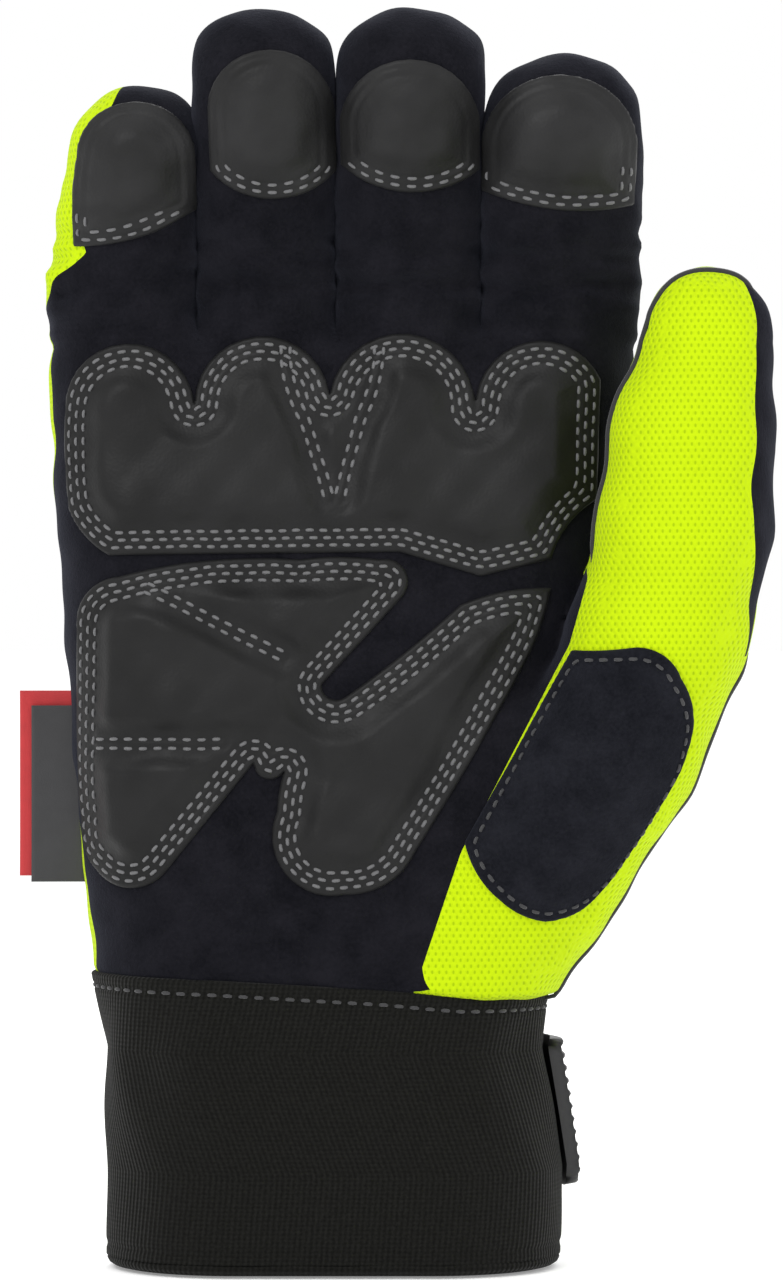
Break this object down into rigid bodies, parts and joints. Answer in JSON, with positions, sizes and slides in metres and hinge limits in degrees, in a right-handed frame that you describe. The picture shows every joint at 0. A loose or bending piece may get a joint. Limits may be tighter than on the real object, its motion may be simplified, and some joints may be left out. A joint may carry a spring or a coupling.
{
  "type": "mechanics work glove",
  "caption": "Right-hand high-visibility work glove with padded leather palm, jointed fingers and thumb, knit cuff and hook-and-loop wrist strap.",
  "frame": {"origin": "centre of the cuff's mouth", "axes": "+Z from the cuff to the fingertips, -Y out of the palm, +X towards the thumb side of this right-hand glove"},
  "size_m": [0.1514, 0.0706, 0.252],
  "materials": {
    "suede": "black synthetic suede",
    "hivis_knit": "high-visibility yellow mesh knit",
    "pad_leather": "smooth synthetic leather",
    "fleece_lining": "brushed fleece",
    "foam": "closed-cell foam",
    "reflective_tape": "retroreflective tape",
    "cuff_knit": "fine rib knit",
    "elastic": "woven elastic",
    "binding_tape": "woven binding",
    "hook_loop": "hook and loop pile",
    "webbing": "woven strap",
    "moulded_rubber": "ribbed moulded rubber",
    "label_black": "woven label",
    "label_red": "woven label"
  },
  "bodies": {
    "hand": {"palm_panel": "suede", "thumb_saddle_patch": "suede", "finger_web": "suede", "thumb_root_knit": "hivis_knit", "back_panel": "hivis_knit", "hand_lining": "fleece_lining", "cuff_lining": "fleece_lining", "upper_palm_pad_cover": "pad_leather", "lower_palm_pad_cover": "pad_leather", "knuckle_guard_cover": "pad_leather", "upper_palm_pad_foam": "foam", "lower_palm_pad_foam": "foam", "knuckle_guard_foam": "foam", "reflective_strip": "reflective_tape", "cuff_band": "cuff_knit", "wrist_elastic": "elastic", "cuff_binding": "binding_tape", "loop_patch": "hook_loop", "strap_anchor": "webbing"},
    "thumb": {"thumb_knit_front": "hivis_knit", "thumb_knit_back": "hivis_knit", "thumb_side_strip": "suede", "thumb_lining": "fleece_lining", "thumb_piping": "binding_tape", "thumb_flex_sleeve": "suede"},
    "closure_strap": {"strap_hook_pad": "hook_loop", "strap_webbing": "webbing", "strap_pull_tab": "moulded_rubber"},
    "side_label": {"label_front": "label_black", "label_back": "label_red"},
    "little_finger": {"little_palm_skin": "suede", "little_fourchette_left": "suede", "little_fourchette_right": "suede", "little_back_skin": "hivis_knit", "little_lining": "fleece_lining", "little_tip_cap": "pad_leather", "little_flex_sleeve": "suede"},
    "ring_finger": {"ring_palm_skin": "suede", "ring_fourchette_left": "suede", "ring_fourchette_right": "suede", "ring_back_skin": "hivis_knit", "ring_lining": "fleece_lining", "ring_tip_cap": "pad_leather", "ring_flex_sleeve": "suede"},
    "middle_finger": {"middle_palm_skin": "suede", "middle_fourchette_left": "suede", "middle_fourchette_right": "suede", "middle_back_skin": "hivis_knit", "middle_lining": "fleece_lining", "middle_tip_cap": "pad_leather", "middle_flex_sleeve": "suede"},
    "index_finger": {"index_palm_skin": "suede", "index_fourchette_left": "suede", "index_fourchette_right": "suede", "index_back_skin": "hivis_knit", "index_lining": "fleece_lining", "index_tip_cap": "pad_leather", "index_flex_sleeve": "suede"}
  },
  "joints": [
    {"name": "little_flex", "type": "hinge", "parent": "hand", "child": "little_finger", "pos_m": [-0.0409, -0.006, 0.1945], "axis": [1, 0, 0], "range_deg": [-15, 55], "stiffness_Nm_per_rad": 0.1, "deforming": ["little_flex_sleeve"]},
    {"name": "ring_flex", "type": "hinge", "parent": "hand", "child": "ring_finger", "pos_m": [-0.012, -0.006, 0.1945], "axis": [1, 0, 0], "range_deg": [-15, 55], "stiffness_Nm_per_rad": 0.1, "deforming": ["ring_flex_sleeve"]},
    {"name": "middle_flex", "type": "hinge", "parent": "hand", "child": "middle_finger", "pos_m": [0.01665, -0.006, 0.1945], "axis": [1, 0, 0], "range_deg": [-15, 55], "stiffness_Nm_per_rad": 0.1, "deforming": ["middle_flex_sleeve"]},
    {"name": "index_flex", "type": "hinge", "parent": "hand", "child": "index_finger", "pos_m": [0.04705, -0.006, 0.1945], "axis": [1, 0, 0], "range_deg": [-15, 55], "stiffness_Nm_per_rad": 0.1, "deforming": ["index_flex_sleeve"]},
    {"name": "thumb_flex", "type": "hinge", "parent": "hand", "child": "thumb", "pos_m": [0.0685, -0.0215, 0.136], "axis": [0.866, -0.5, 0], "range_deg": [-15, 25], "stiffness_Nm_per_rad": 0.1, "deforming": ["thumb_flex_sleeve"]},
    {"name": "strap_peel", "type": "hinge", "parent": "hand", "child": "closure_strap", "pos_m": [-0.024, 0.0291, 0.0305], "axis": [0, 0, 1], "range_deg": [0, 120]},
    {"name": "label_flap", "type": "hinge", "parent": "hand", "child": "side_label", "pos_m": [-0.0519, 0, 0.0965], "axis": [-0.0563, 0, 0.9984], "range_deg": [-45, 45], "stiffness_Nm_per_rad": 0.002}
  ]
}
